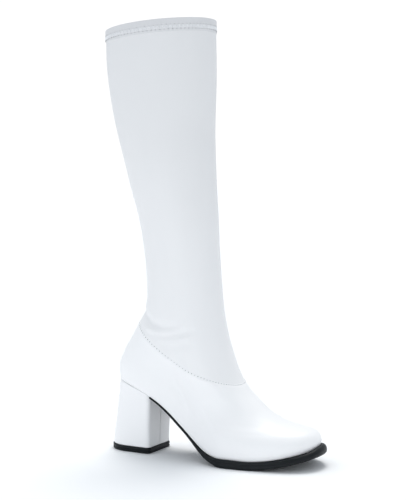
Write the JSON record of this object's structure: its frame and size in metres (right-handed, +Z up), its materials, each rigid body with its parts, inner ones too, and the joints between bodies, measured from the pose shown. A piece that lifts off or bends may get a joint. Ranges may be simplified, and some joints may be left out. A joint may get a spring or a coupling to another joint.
{
  "type": "go go boot",
  "caption": "Knee-high white stretch go-go boot with a glossy foot, a folded hem at the collar, a black sole with a welt step and a covered block heel.",
  "frame": {"origin": "on the floor, at the middle of the heel lift's resting face", "axes": "+X forward to the toe, +Y to the inner side of the foot, +Z up the shaft"},
  "size_m": [0.246, 0.1034, 0.459],
  "materials": {
    "white_upper": "coated stretch faux leather, satin on the shaft and glossy on the foot",
    "white_lining": "plain brushed lining",
    "black_sole": "satin moulded sole",
    "white_heel_cover": "smooth coated cover, semi-gloss",
    "black_lift": "satin hard rubber"
  },
  "bodies": {
    "root": {"upper": "white_upper", "insole": "white_lining", "outsole": "black_sole", "heel_block": "white_heel_cover", "heel_lift": "black_lift"}
  },
  "joints": []
}
